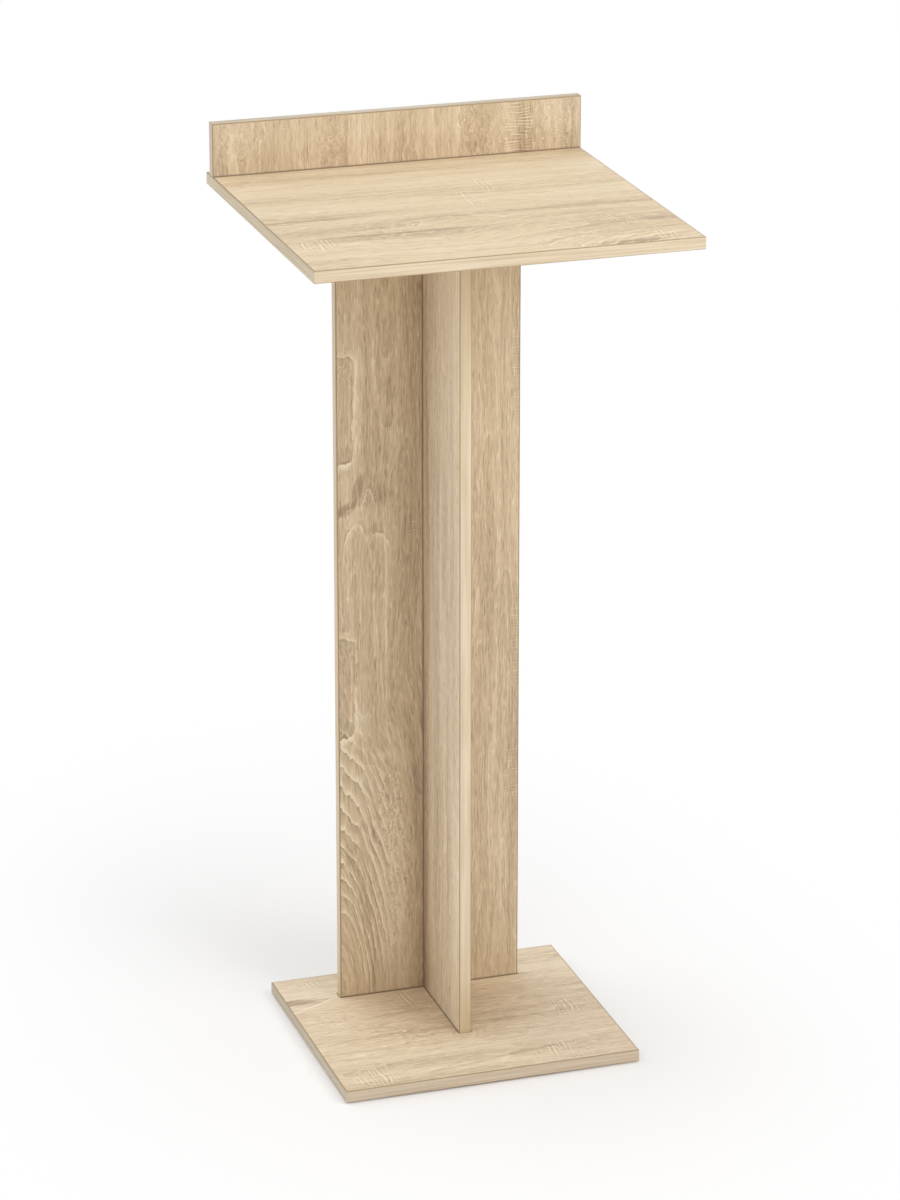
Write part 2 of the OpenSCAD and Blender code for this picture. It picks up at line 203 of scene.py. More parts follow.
def arches(tree, place, foot, lean, slope, first, pitch, heading, seed, within):
    """Nested arches of cathedral figure inside a spot. They stand on a line across the board at foot,
    head one way along the grain, lean off it in degrees, and rise slope times their half width. One is
    first tall, and the others follow at the pitch. Their heads are toothed, as the rays break them,
    and each line fades here and there. Gives their tone, and how far across the board the fibres move
    to follow them."""
    wander = streaks(tree, place, 150, 34, seed, 1.0)
    ripple = streaks(tree, place, 40, 19, seed + 0.5, 2.0, 0.55)
    teeth = streaks(tree, place, 60, 7, seed + 0.7, 3.0, 0.6)
    offset = add(
        tree,
        "Mapping",
        {"vector_type": "TEXTURE"},
        {"Vector": place, "Location": (*foot, 0.0), "Rotation": (0.0, 0.0, math.radians(lean))},
    )
    turned = add(tree, "VectorMath", {"operation": "MULTIPLY"}, {0: offset, 1: (heading, slope, 0.0)})
    # below the foot the arches' legs run straight down
    upward = add(tree, "VectorMath", {"operation": "MAXIMUM"}, {0: turned, 1: (0.0, -ENDLESS, 0.0)})
    height = add(tree, "VectorMath", {"operation": "LENGTH"}, {0: upward})
    size = add(tree, "Math", {"operation": "SUBTRACT"}, {0: height, 1: first})
    phase = total(tree, (size, 1 / pitch), (wander, 1.5), (ripple, 0.5), (teeth, 0.7))
    fading = patchy(tree, place, seed + 0.9)
    # inside the first arch there are no more
    outside = add(
        tree,
        "MapRange",
        links={"Value": size, "From Min": -0.8 * pitch, "From Max": -0.2 * pitch},
    )
    tone = total(tree, (ring_lines(tree, phase, 5.0), fading, outside, spot(tree, place, *within), 1.0))
    sideways = add(tree, "SeparateXYZ", links={0: offset}).outputs[1]
    side = add(tree, "Math", {"operation": "SIGN"}, {0: sideways})
    apart = total(tree, (sideways, side, 1.0))
    # far above the arches the fibres bend no further, and far beside them they run straight again
    bend = total(tree, (height, 1 / slope), (apart, -1.0))
    bend = add(tree, "Math", {"operation": "MINIMUM"}, {0: bend, 1: FLOW_LIMIT})
    near = add(
        tree,
        "MapRange",
        {"interpolation_type": "SMOOTHSTEP"},
        {"Value": apart, "From Min": 270, "From Max": 20},
    )
    return tone, total(tree, (bend, side, near, 1.0))


def pale_edge(tree, place, distance, edge, seed, torn):
    """A line in the figure where a distance passes its edge: darker just before it, bright at it and
    fading behind it. It is torn by about a fifth of this much to either side. All in millimetres."""
    half_line = 12
    ragged = streaks(tree, place, 30, 9, seed, 3.0, 0.65)
    distance = total(tree, (distance, 1.0), (ragged, torn))
    ramp = add(
        tree,
        "MapRange",
        links={"Value": distance, "From Min": edge - half_line, "From Max": edge + half_line},
    )
    ramp = add(tree, "ValToRGB", links={0: ramp})
    stops = ramp.color_ramp
    stops.elements[0].position = 0.25
    stops.elements[0].color = (0.5, 0.5, 0.5, 1)
    stops.elements[1].position = 0.95
    stops.elements[1].color = (0.5, 0.5, 0.5, 1)
    stops.elements.new(0.46).color = (0.34, 0.34, 0.34, 1)
    stops.elements.new(0.52).color = (1, 1, 1, 1)
    stops.elements.new(0.64).color = (0.68, 0.68, 0.68, 1)
    tone = add(tree, "Math", {"operation": "SUBTRACT"}, {0: ramp.outputs[0], 1: 0.5})
    return total(tree, (tone, patchy(tree, place, seed + 0.5), 1.0))


def eye(tree, place, centre, half, seed):
    """A closed eye in the figure with a torn pale rim, nearly square at its ends."""
    corner = 15
    straight_half = (half[0] - corner, half[1] - corner, ENDLESS)
    distance = beyond(tree, place, (*centre, 0.0), straight_half)
    return pale_edge(tree, place, distance, corner, seed, 22.0)


def crown(tree, place, seed, *humps):
    """The pale top line of cathedral figure that rises in one hump or more, each a half ellipse."""
    nearest = ENDLESS
    for centre, reach in humps:
        hump = radius(tree, place, centre, reach)
        nearest = add(tree, "Math", {"operation": "MINIMUM"}, {0: nearest, 1: hump})
    # a hump's radius is counted as this many millimetres, and backwards, so the line is bright inside
    hump_mm = -40.0
    return pale_edge(tree, place, total(tree, (nearest, hump_mm)), hump_mm, seed, 11.0)


def saw_marks(tree, place, seed, gap, marked):
    """Pale cross cuts that a rough-sawn board shows, in rows about gap apart: where each spot says,
    and in chance patches that are fainter."""
    along = add(tree, "SeparateXYZ", links={0: place}).outputs[0]
    phase = total(tree, (along, 2 / gap), (streaks(tree, place, 26, 44, seed, 1.0), 5.0))
    wave = add(tree, "Math", {"operation": "PINGPONG"}, {0: phase, 1: 1.0})
    cuts = add(
        tree,
        "MapRange",
        {"interpolation_type": "SMOOTHSTEP"},
        {"Value": wave, "From Min": 0.45, "From Max": 1.0, "To Min": -0.25},
    )
    depth = streaks(tree, place, 1.4 * gap, 24, seed + 0.2, 1.0)
    depth = add(tree, "MapRange", links={"Value": depth, "From Min": -0.1, "From Max": 0.14})
    chance = streaks(tree, place, 60, 38, seed + 0.4, 1.0)
    chance = add(
        tree,
        "MapRange",
        links={"Value": chance, "From Min": 0.12, "From Max": 0.26, "To Max": 0.4},
    )
    return total(
        tree,
        (cuts, depth, chance, 1.0),
        *((cuts, depth, spot(tree, place, *where), 1.0) for where in marked),
    )


def ray_flecks(tree, place, seed, marked):
    """Short curled flecks inside the spots, pale and dark, where the saw ran along the wood's rays."""
    own_part = (seed * 3.1, 0.0, seed)
    squeezed = add(
        tree,
        "Mapping",
        links={"Vector": place, "Location": own_part, "Scale": (1 / 11, 1 / 2.5, 4)},
    )
    curl = add(
        tree,
        "TexNoise",
        links={"Vector": squeezed, "Scale": 1.0, "Detail": 2.0, "Distortion": 1.2},
    )
    curl = add(tree, "Math", {"operation": "SUBTRACT"}, {0: curl.outputs[0], 1: 0.5})
    return total(tree, *((curl, spot(tree, place, *where), 1.0) for where in marked))


def wriggles(tree, place, seed, amount, marked):
    """How far across the board the fibres wriggle: a little all over, and much more inside the spots."""
    wave = streaks(tree, place, 12, 9, seed + 0.35, 2.0, 0.6)
    return total(tree, (wave, amount), *((wave, spot(tree, place, *where), 15.0) for where in marked))


def meets(tree, board):
    """Painted shade beside joints: 1 where this board touches another one, fading to 0 a joint shade's
    width away.
    """
    nearest = ENDLESS
    for other, nodes in FOOTPRINTS.items():
        if other == board:
            continue
        corners = [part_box(node) for node in nodes]
        low = Vector(min(box[0][i] for box in corners) for i in range(3)) / MM
        high = Vector(max(box[1][i] for box in corners) for i in range(3)) / MM
        gap = beyond(tree, in_millimetres(tree), (low + high) / 2, (high - low) / 2)
        nearest = add(tree, "Math", {"operation": "MINIMUM"}, {0: nearest, 1: gap})
    return add(
        tree,
        "MapRange",
        {"interpolation_type": "SMOOTHSTEP"},
        {"Value": nearest, "From Min": JOINT_SHADE_W / MM, "From Max": 0.0},
    )


def chipboard(tree, place):
    """Pressed wood chips of a few millimetres in resin: patchy tan with paler and darker chips."""
    chips = add(tree, "TexVoronoi", links={"Vector": place, "Scale": 0.45})
    dust = add(tree, "TexNoise", links={"Vector": place, "Scale": 1.2, "Detail": 2.0})
    tone = total(tree, (chips.outputs["Color"], 0.6), (dust.outputs[0], 0.4))
    ramp = add(tree, "ValToRGB", links={0: tone})
    ramp.color_ramp.elements[0].color = linear("#7d5f3e")
    ramp.color_ramp.elements[1].color = linear("#d9bd92")
    return ramp


def oak_laminate(board, grain, across, seed, figure, print_and_shade_tone="#ddc6a4", glue="#a98f6c", vivid=1.0):
    """Sonoma-oak melamine laminate on chipboard: a printed paper skin pressed against an embossed plate.
    It gives the eye a matt, even sheen, pale limed grain, and fine pores sunk into the surface. Inside
    the bores, behind the skin, the chipboard shows. figure gives the board's own cathedral figure, with
    painted shade and light on some boards, and how far its fibres flow sideways round it.
    print_and_shade_tone is the print's middle tone; it differs from board to board partly as the print's
    drift and partly as painted light and shade for the light each board gets. vivid is how strong its
    straight grain is."""
    material, tree, shader = new_material(board + ", sonoma-oak laminate")
    straight = along_grain(tree, grain, across)
    own, flow = figure(tree, straight, seed)
    bend = streaks(tree, straight, 420, 80, seed, 1.0)
    sway = add(tree, "CombineXYZ", links={1: total(tree, (bend, 24.0), (flow, 1.0))})
    place = add(tree, "VectorMath", {"operation": "ADD"}, {0: straight, 1: sway})

    # broad drifts of tone, narrower streaks and fine fibres, each along the grain
    drift = streaks(tree, place, 700, 30, seed + 0.1, 1.0)
    streak = streaks(tree, place, 220, 6.5, seed + 0.2, 2.0, 0.55)
    # real fibres and pores are a few hundredths of a millimetre, and are drawn as coarse as they show
    fibre = streaks(tree, place, 64, 1.4, seed + 0.3, 2.0, 0.7)
    split = streaks(tree, place, 20, 1.6, seed + 0.7, 2.0, 0.75)
    pore = streaks(tree, place, 15, 1.15, seed + 0.4, 0.0)
    pore = add(tree, "MapRange", links={"Value": pore, "From Min": 0.14, "From Max": 0.26})
    limed = streaks(tree, place, 16, 1.4, seed + 0.5, 0.0)
    limed = add(tree, "MapRange", links={"Value": limed, "From Min": 0.12, "From Max": 0.26})
    vein = streaks(tree, place, 520, 42, seed + 0.6, 1.0)
    veins = ring_lines(tree, total(tree, (vein, 11.0)), 9.0)
    tone = total(
        tree,
        (drift, 0.68 * vivid),
        (streak, 0.56 * vivid),
        (fibre, 0.72 * vivid),
        (split, 0.74 * vivid),
        (pore, -0.23 * vivid),
        (limed, 0.26 * vivid),
        (veins, 0.09),
        (own, 1.0),
    )
    tone = add(tree, "Math", {"operation": "ADD"}, {0: tone, 1: 0.5})
    print_ramp = add(tree, "ValToRGB", links={0: tone})
    print_ramp.color_ramp.elements[0].color = linear("#a88f74")
    print_ramp.color_ramp.elements[1].color = linear("#fcebcf")
    print_ramp.color_ramp.elements.new(0.5).color = linear(print_and_shade_tone)

    # a thin dark line of glue and cut edge runs round the board's face, where a band or board meets it
    low, high = (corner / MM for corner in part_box(board))
    order = [AXES.index(grain), AXES.index(across)]
    order.append(3 - sum(order))
    middle = [(low[i] + high[i]) / 2 for i in order]
    half = [(high[i] - low[i]) / 2 for i in order]
    inset = add(tree, "VectorMath", {"operation": "SUBTRACT"}, {0: straight, 1: middle})
    inset = add(tree, "VectorMath", {"operation": "ABSOLUTE"}, {0: inset})
    inset = add(tree, "SeparateXYZ", links={0: inset})
    on_rim = [
        add(
            tree,
            "Math",
            {"operation": "GREATER_THAN"},
            {0: inset.outputs[i], 1: half[i] - GLUE_LINE_W / MM},
        )
        for i in (0, 1)
    ]
    rim = add(tree, "Math", {"operation": "MAXIMUM"}, {0: on_rim[0], 1: on_rim[1]})
    face = add(
        tree,
        "Mix",
        {"data_type": "RGBA"},
        {"Factor": rim, "A": print_ramp.outputs[0], "B": linear(glue)},
    )
    # where two boards meet, a dark joint line, and painted shade that fades out beside it
    face = add(
        tree,
        "Mix",
        {"data_type": "RGBA"},
        {"Factor": meets(tree, board), "A": face, "B": linear("#968065")},
    )
    on_skin = add(
        tree,
        "Math",
        {"operation": "GREATER_THAN"},
        {0: inset.outputs[2], 1: half[2] - SKIN_T / MM},
    )
    core = chipboard(tree, straight)
    colour = add(
        tree,
        "Mix",
        {"data_type": "RGBA"},
        {"Factor": on_skin, "A": core.outputs[0], "B": face},
    )
    tree.links.new(next(s for s in colour.outputs if s.enabled), shader.inputs["Base Color"])

    emboss = total(tree, (fibre, 0.5), (split, 0.4), (pore, -0.6))
    bump = add(tree, "Bump", links={"Strength": 0.5, "Distance": 0.12 * MM, "Height": emboss})
    tree.links.new(bump.outputs[0], shader.inputs["Normal"])
    rough = add(
        tree,
        "MapRange",
        links={"Value": streak, "From Min": -0.3, "From Max": 0.3, "To Min": 0.5, "To Max": 0.64},
    )
    tree.links.new(rough.outputs[0], shader.inputs["Roughness"])
    shader.inputs["IOR"].default_value = 1.47
    return material


def top_figure(tree, place, seed):
    """Two dark wavy streaks on the speaker's left, arch tips at the right front corner, sawn patches."""
    tips_spot = ((185, -232), (100, 46))
    tips, flow = arches(tree, place, (262, -262), 0, 2.6, 30, 27, -1.0, seed, tips_spot)
    marks = saw_marks(
        tree,
        place,
        seed,
        6.5,
        [
            ((32, 15), (16, 44)),
            ((68, 75), (16, 36)),
            ((-214, -136), (34, 36)),
            ((184, -130), (26, 34)),
            ((210, -215), (30, 26)),
        ],
    )
    curled = [
        ((-220, 153), (26, 22)),
        ((-112, -88), (44, 26)),
        ((-118, -122), (36, 14)),
        ((120, -185), (60, 20)),
    ]
    tone = total(
        tree,
        (spot(tree, place, (30, 200), (260, 40)), 0.06),
        (spot(tree, place, (0, 124), (800, 46)), 0.13),
        (spot(tree, place, (-150, 75), (300, 19)), -0.13),
        (spot(tree, place, (0, 22), (800, 40)), 0.07),
        (spot(tree, place, (-195, -26), (130, 5)), -0.2),
        (spot(tree, place, (40, -62), (700, 48)), -0.1),
        (spot(tree, place, (-100, -112), (130, 5)), -0.24),
        (spot(tree, place, (-90, -124), (190, 22)), -0.1),
        (spot(tree, place, (215, -185), (190, 95)), -0.13),
        (spot(tree, place, (150, -236), (70, 11)), -0.24),
        (tips, 0.3),
        (marks, 0.46),
        (ray_flecks(tree, place, seed, curled), 0.7),
    )
    return tone, total(tree, (flow, 1.0), (wriggles(tree, place, seed, 4.0, curled), 1.0))


def base_figure(tree, place, seed):
    """A dark wedge at the back left corner, wriggled grain in front of it, and sawn patches."""
    marks = saw_marks(
        tree,
        place,
        seed,
        6.0,
        [
            ((-155, 135), (24, 24)),
            ((-145, -155), (44, 36)),
            ((107, -152), (56, 34)),
            ((150, -24), (22, 40)),
            ((178, -30), (18, 26)),
            ((-42, 58), (14, 36)),
        ],
    )
    wriggled = [
        ((-153, 28), (36, 30)),
        ((-65, -52), (40, 28)),
        ((-115, -10), (34, 22)),
        ((20, -65), (60, 22)),
    ]
    tone = total(
        tree,
        (spot(tree, place, (-206, 91), (72, 12)), -0.46),
        (spot(tree, place, (-172, 104), (60, 3)), 0.14),
        (spot(tree, place, (-170, 74), (44, 4), 26.6), 0.26),
        (spot(tree, place, (-158, 83), (30, 3), 27), -0.28),
        (spot(tree, place, (-40, -158), (90, 4), 6), -0.16),
        (spot(tree, place, (70, -140), (120, 4), 8), -0.14),
        # painted shade: darker in the middle, round the column's foot
        (spot(tree, place, (0, 0), (150, 120)), -0.14),
        (spot(tree, place, (-160, 130), (70, 50)), 0.12),
        (marks, 0.5),
        (ray_flecks(tree, place, seed, wriggled), 0.8),
    )
    return tone, wriggles(tree, place, seed, 5.0, wriggled)


def panel_figure(tree, place, seed):
    """Cathedral figure up the left edge: a fan of arches at the foot, a crown of two humps with a
    small peak and a dark hook over it, and two closed eyes cut by the edge. The rest is straight
    grain."""
    fan_spot = ((205, -122), (255, 112))
    fan, flow = arches(tree, place, (18, -120), -3, 3.9, 122, 26, 1.0, seed, fan_spot)
    upper_eye = eye(tree, place, (843, -125), (73, 24), seed)
    lower_eye = eye(tree, place, (460, -125), (71, 24), seed + 1)
    humps = crown(tree, place, seed + 2, ((616, -99), (70, 20)), ((616, -73), (56, 26)))
    shoulder = crown(tree, place, seed + 3, ((666, -95), (44, 36)))
    peak = crown(tree, place, seed + 4, ((696, -82), (38, 9)))
    marks = saw_marks(
        tree,
        place,
        seed,
        4.0,
        [
            ((675, -27), (14, 18)),
            ((315, 118), (60, 16)),
            ((880, 122), (90, 12)),
            ((500, 121), (90, 12)),
        ],
    )
    curled = [
        ((190, -50), (190, 34)),
        ((290, -54), (90, 17)),
        ((902, -114), (34, 18)),
        ((518, -114), (34, 18)),
        ((722, -80), (18, 14)),
    ]
    sideways = total(tree, (streaks(tree, place, 70, 40, seed, 2.0), 9.0))
    waver = add(tree, "CombineXYZ", links={1: sideways})
    side = add(tree, "VectorMath", {"operation": "ADD"}, {0: place, 1: waver})
    tone = total(
        tree,
        (fan, 0.54),
        (upper_eye, 1.35),
        (upper_eye, spot(tree, place, (776, -112), (22, 24)), 0.7),
        (upper_eye, spot(tree, place, (914, -112), (34, 30)), -0.6),
        (lower_eye, 1.25),
        (lower_eye, spot(tree, place, (394, -112), (22, 24)), 0.7),
        (lower_eye, spot(tree, place, (530, -112), (34, 30)), -0.6),
        (spot(tree, place, (843, -128), (88, 28)), -0.06),
        (spot(tree, place, (460, -128), (86, 28)), -0.08),
        (spot(tree, place, (900, -116), (34, 14)), -0.06),
        (spot(tree, place, (517, -116), (34, 14)), -0.06),
        (spot(tree, place, (782, -114), (18, 14)), -0.12),
        (spot(tree, place, (400, -114), (18, 14)), -0.12),
        (humps, spot(tree, place, (664, -90), (52, 54)), 0.8),
        (shoulder, spot(tree, place, (704, -112), (26, 28)), 0.4),
        (peak, spot(tree, place, (726, -82), (22, 20)), 1.0),
        (spot(tree, place, (708, -112), (22, 10), 62), -0.34),
        (spot(tree, place, (734, -97), (26, 9), 11), -0.36),
        (spot(tree, place, (742, -114), (32, 22)), 0.05),
        (spot(tree, place, (696, -88), (20, 26)), 0.12),
        (spot(tree, place, (724, -64), (22, 14)), -0.18),
        (spot(tree, side, (540, -59), (190, 2.6)), 0.2),
        (spot(tree, side, (575, -76), (95, 2.4)), 0.17),
        (spot(tree, side, (478, -67), (90, 2.4), -5.7), 0.17),
        (spot(tree, side, (580, -94), (50, 2.4)), 0.14),
        (spot(tree, side, (900, -74), (70, 2.4)), 0.16),
        (spot(tree, side, (838, -67), (60, 2.4), -6), 0.16),
        # slow drifts of tone, partly the print's own and partly painted shade and light: darker in the
        # corner beside the fin, and lighter or darker up and down the panel as the light falls
        (spot(tree, place, (560, 0), (1400, 46)), -0.12),
        (spot(tree, place, (567, 58), (290, 48)), -0.15),
        (spot(tree, place, (640, 110), (760, 60)), -0.06),
        (spot(tree, place, (600, -95), (760, 60)), -0.07),
        (spot(tree, place, (250, 70), (240, 90)), -0.04),
        (spot(tree, place, (1050, 60), (180, 90)), 0.07),
        (spot(tree, place, (40, 60), (260, 260)), 0.07),
        (marks, 0.26),
        (ray_flecks(tree, place, seed, curled), 0.9),
    )
    return tone, total(tree, (flow, 0.9), (wriggles(tree, place, seed, 1.6, curled), 1.0))


def fin_figure(tree, place, seed):
    """Quiet grain, with one sawn patch beside the front edge, and painted shade and light: darker towards
    the panel and the foot, paler at the front edge and towards the top."""
    marks = saw_marks(tree, place, seed, 4.0, [((340, -50), (52, 34))])
    tone = total(
        tree,
        (marks, 0.2),
        (spot(tree, place, (560, -84), (1800, 54)), 0.24),
        (spot(tree, place, (560, 36), (1800, 34)), 0.06),
        (spot(tree, place, (560, 96), (1800, 42)), -0.3),
        (spot(tree, place, (60, 0), (460, 300)), -0.06),
        (spot(tree, place, (1050, 0), (360, 300)), 0.08),
    )
    return tone, wriggles(tree, place, seed, 2.0, [])


def rail_figure(tree, place, seed):
    """Wriggled grain right of the middle with a row of sawn marks beside it, on broad soft stripes
    that run upright."""
    marks = saw_marks(tree, place, seed, 4.2, [((1167, 164), (80, 24))])
    wriggled = [
        ((1170, 116), (60, 50)),
        ((1165, -95), (44, 26)),
        ((1180, -212), (46, 44)),
        ((1175, 215), (50, 40)),
    ]
    tone = total(
        tree,
        (streaks(tree, place, 400, 30, seed + 0.8, 1.0), 0.34),
        # painted light and shade: paler towards the upper edge, darker at the foot on the desk
        (spot(tree, place, (1206, 0), (62, 900)), 0.07),
        (spot(tree, place, (1130, 0), (50, 900)), -0.05),
        (spot(tree, place, (1160, 235), (140, 130)), -0.07),
        (marks, 0.75),
        (ray_flecks(tree, place, seed, wriggled), 0.7),
    )
    return tone, wriggles(tree, place, seed, 6.0, wriggled)


def oak_band(name, grain, seed, tint):
    """ABS edge band with a printed oak face under a satin lacquer: plainer than the boards, with long
    thin streaks and no pores."""
    material, tree, shader = new_material(name)
    across = next(a for a in AXES if a != grain)
    place = along_grain(tree, grain, across)
    cloud = streaks(tree, place, 110, 30, seed + 0.6, 1.0)
    drift = streaks(tree, place, 200, 6, seed, 2.0)
    fibre = streaks(tree, place, 60, 1.6, seed + 0.3, 2.0, 0.6)
    tone = total(tree, (cloud, 1.2), (drift, 1.6), (fibre, 1.1))
    tone = add(tree, "Math", {"operation": "ADD"}, {0: tone, 1: 0.5})
    ramp = add(tree, "ValToRGB", links={0: tone})
    ramp.color_ramp.elements[0].color = linear(tint[0])
    ramp.color_ramp.elements[1].color = linear(tint[1])
    tree.links.new(ramp.outputs[0], shader.inputs["Base Color"])
    bump = add(tree, "Bump", links={"Strength": 0.3, "Distance": 0.08 * MM, "Height": fibre})
    tree.links.new(bump.outputs[0], shader.inputs["Normal"])
    shader.inputs["Roughness"].default_value = 0.45
    shader.inputs["IOR"].default_value = 1.53
    return material


def band_core():
    """The same ABS, cut by the trimming cutter: its through-coloured body, darker and duller than the
    print, with fine cutter marks across the round."""
    material, tree, shader = new_material("trimmed ABS edge")
    marks = add(tree, "TexNoise", links={"Vector": in_millimetres(tree), "Scale": 0.7, "Detail": 3.0})
    ramp = add(tree, "ValToRGB", links={0: marks.outputs[0]})
    ramp.color_ramp.elements[0].color = linear("#9f8561")
    ramp.color_ramp.elements[1].color = linear("#bfa47c")
    tree.links.new(ramp.outputs[0], shader.inputs["Base Color"])
    shader.inputs["Roughness"].default_value = 0.6
    shader.inputs["IOR"].default_value = 1.53
    return material


def moulded_plastic(name, low, high, roughness):
    """Injection-moulded thermoplastic: an even colour with the faint orange peel of its mould."""
    material, tree, shader = new_material(name)
    place = in_millimetres(tree)
    flow = add(tree, "TexNoise", links={"Vector": place, "Scale": 0.12, "Detail": 3.0})
    ramp = add(tree, "ValToRGB", links={0: flow.outputs[0]})
    ramp.color_ramp.elements[0].color = linear(low)
    ramp.color_ramp.elements[1].color = linear(high)
    tree.links.new(ramp.outputs[0], shader.inputs["Base Color"])
    peel = add(tree, "TexNoise", links={"Vector": place, "Scale": 1.6, "Detail": 2.0})
    bump = add(tree, "Bump", links={"Strength": 0.25, "Distance": 0.05 * MM, "Height": peel.outputs[0]})
    tree.links.new(bump.outputs[0], shader.inputs["Normal"])
    shader.inputs["Roughness"].default_value = roughness
    shader.inputs["IOR"].default_value = 1.5
    return material


def plated_metal(name, low, high, roughness, spangle):
    """Steel or zinc with its finish: metal that shifts in tone from patch to patch, about a spangle
    wide in millimetres, with a roughness that shifts the same way, so its highlights break up."""
    material, tree, shader = new_material(name)
    place = in_millimetres(tree)
    patches = add(
        tree,
        "TexNoise",
        links={"Vector": place, "Scale": 1 / spangle, "Detail": 3.0, "Roughness": 0.6},
    )
    ramp = add(tree, "ValToRGB", links={0: patches.outputs[0]})
    ramp.color_ramp.elements[0].position = 0.3
    ramp.color_ramp.elements[0].color = linear(low)
    ramp.color_ramp.elements[1].position = 0.7
    ramp.color_ramp.elements[1].color = linear(high)
    tree.links.new(ramp.outputs[0], shader.inputs["Base Color"])
    rough = add(
        tree,
        "MapRange",
        links={
            "Value": patches.outputs[0],
            "From Min": 0.3,
            "From Max": 0.7,
            "To Min": roughness - 0.06,
            "To Max": roughness + 0.08,
        },
    )
    tree.links.new(rough.outputs[0], shader.inputs["Roughness"])
    grit = add(tree, "TexNoise", links={"Vector": place, "Scale": 2.5, "Detail": 2.0})
    bump = add(tree, "Bump", links={"Strength": 0.2, "Distance": 0.03 * MM, "Height": grit.outputs[0]})
    tree.links.new(bump.outputs[0], shader.inputs["Normal"])
    shader.inputs["Metallic"].default_value = 1.0
    return material


def beech_dowel(name, grain):
    """Raw beech turned to a dowel: warm even wood with short dark ray flecks along the grain."""
    material, tree, shader = new_material(name)
    place = along_grain(tree, grain, next(a for a in AXES if a != grain))
    tone = streaks(tree, place, 40, 2.0, 3.0, 2.0)
    fleck = streaks(tree, place, 3, 0.5, 4.0, 0.0)
    fleck = add(tree, "MapRange", links={"Value": fleck, "From Min": 0.14, "From Max": 0.22})
    tone = add(tree, "Math", {"operation": "ADD"}, {0: total(tree, (tone, 0.8), (fleck, -0.3)), 1: 0.5})
    ramp = add(tree, "ValToRGB", links={0: tone})
    ramp.color_ramp.elements[0].color = linear("#a9794d")
    ramp.color_ramp.elements[1].color = linear("#e2bb8c")
    tree.links.new(ramp.outputs[0], shader.inputs["Base Color"])
    bump = add(tree, "Bump", links={"Strength": 0.3, "Distance": 0.1 * MM, "Height": tone})
    tree.links.new(bump.outputs[0], shader.inputs["Normal"])
    shader.inputs["Roughness"].default_value = 0.68
    return material


# ---------------------------------------------------------------- Camera

# A long lens aimed at the lectern's middle line
AIM = Vector((0.0, 0.0, 0.798))
CAMERA_AZIMUTH = math.radians(-18.0)
CAMERA_ELEVATION = math.radians(18.28)
CAMERA_DISTANCE = 5.887
LENS_MM = 138.2
SENSOR_MM = 36.0
LENS_SHIFT = -0.12

back = Vector((
    math.sin(CAMERA_AZIMUTH) * math.cos(CAMERA_ELEVATION),
    -math.cos(CAMERA_AZIMUTH) * math.cos(CAMERA_ELEVATION),
    math.sin(CAMERA_ELEVATION),
))
camera_data = bpy.data.cameras.new("camera")
camera = bpy.data.objects.new("camera", camera_data)
bpy.context.scene.collection.objects.link(camera)
camera.location = AIM + back * CAMERA_DISTANCE
camera.rotation_mode = "QUATERNION"
camera.rotation_quaternion = (-back).to_track_quat("-Z", "Y")
camera_data.lens = LENS_MM
camera_data.sensor_width = SENSOR_MM
camera_data.shift_y = LENS_SHIFT
camera_data.clip_end = 100.0
bpy.context.scene.camera = camera


# ---------------------------------------------------------------- Boards


def finish(node, *materials):
    """Gives a CAD node its materials."""
    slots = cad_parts[node].data.materials
    slots.clear()
    for material in materials:
        slots.append(material)


# each board's print tone here is partly painted light and shade, for the light that board gets
finish("top_board", oak_laminate("top_board", "x", "y", 1, top_figure, "#e7cfaa", vivid=0.8))
finish("base_board", oak_laminate("base_board", "x", "y", 2, base_figure, "#e1cbac", vivid=0.9))
finish("column_panel", oak_laminate("column_panel", "z", "x", 3, panel_figure, vivid=0.93))
finish("column_fin", oak_laminate("column_fin", "z", "y", 8, fin_figure, "#dfcaac", "#c4ab86"))
finish("rail_board", oak_laminate("rail_board", "z", "x", 5, rail_figure, "#e2cbaa", "#d3bb96", 0.9))


# ---------------------------------------------------------------- Edge bands

# Every board's bands come off another roll, so their prints differ a little in tone. The desk's and the
# base's side bands are also partly painted shade: darker and greyer than their front bands, for the
# lesser light on the sides.
desk_front_band = oak_band("desk front band, printed ABS", "x", 11, ("#d5bc98", "#f8e5c8"))
desk_side_band_shaded = oak_band("desk side band, printed ABS with painted shade", "y", 12, ("#b7a382", "#e5d1b0"))
base_front_band = oak_band("base front band, printed ABS", "x", 13, ("#c9b193", "#ead8be"))
base_side_band_shaded = oak_band("base side band, printed ABS with painted shade", "y", 14, ("#a99980", "#d4c5ae"))
column_band = oak_band("column band, printed ABS", "z", 15, ("#c5ac89", "#e8d4b5"))
fin_band = oak_band("fin band, printed ABS", "z", 18, ("#ddc5a1", "#f2dfbf"))
rail_upper_band = oak_band("rail upper band, printed ABS", "x", 16, ("#bfa98b", "#decfb7"))
rail_end_band = oak_band("rail end band, printed ABS", "z", 17, ("#c0a98c", "#e2d1bc"))
trimmed = band_core()


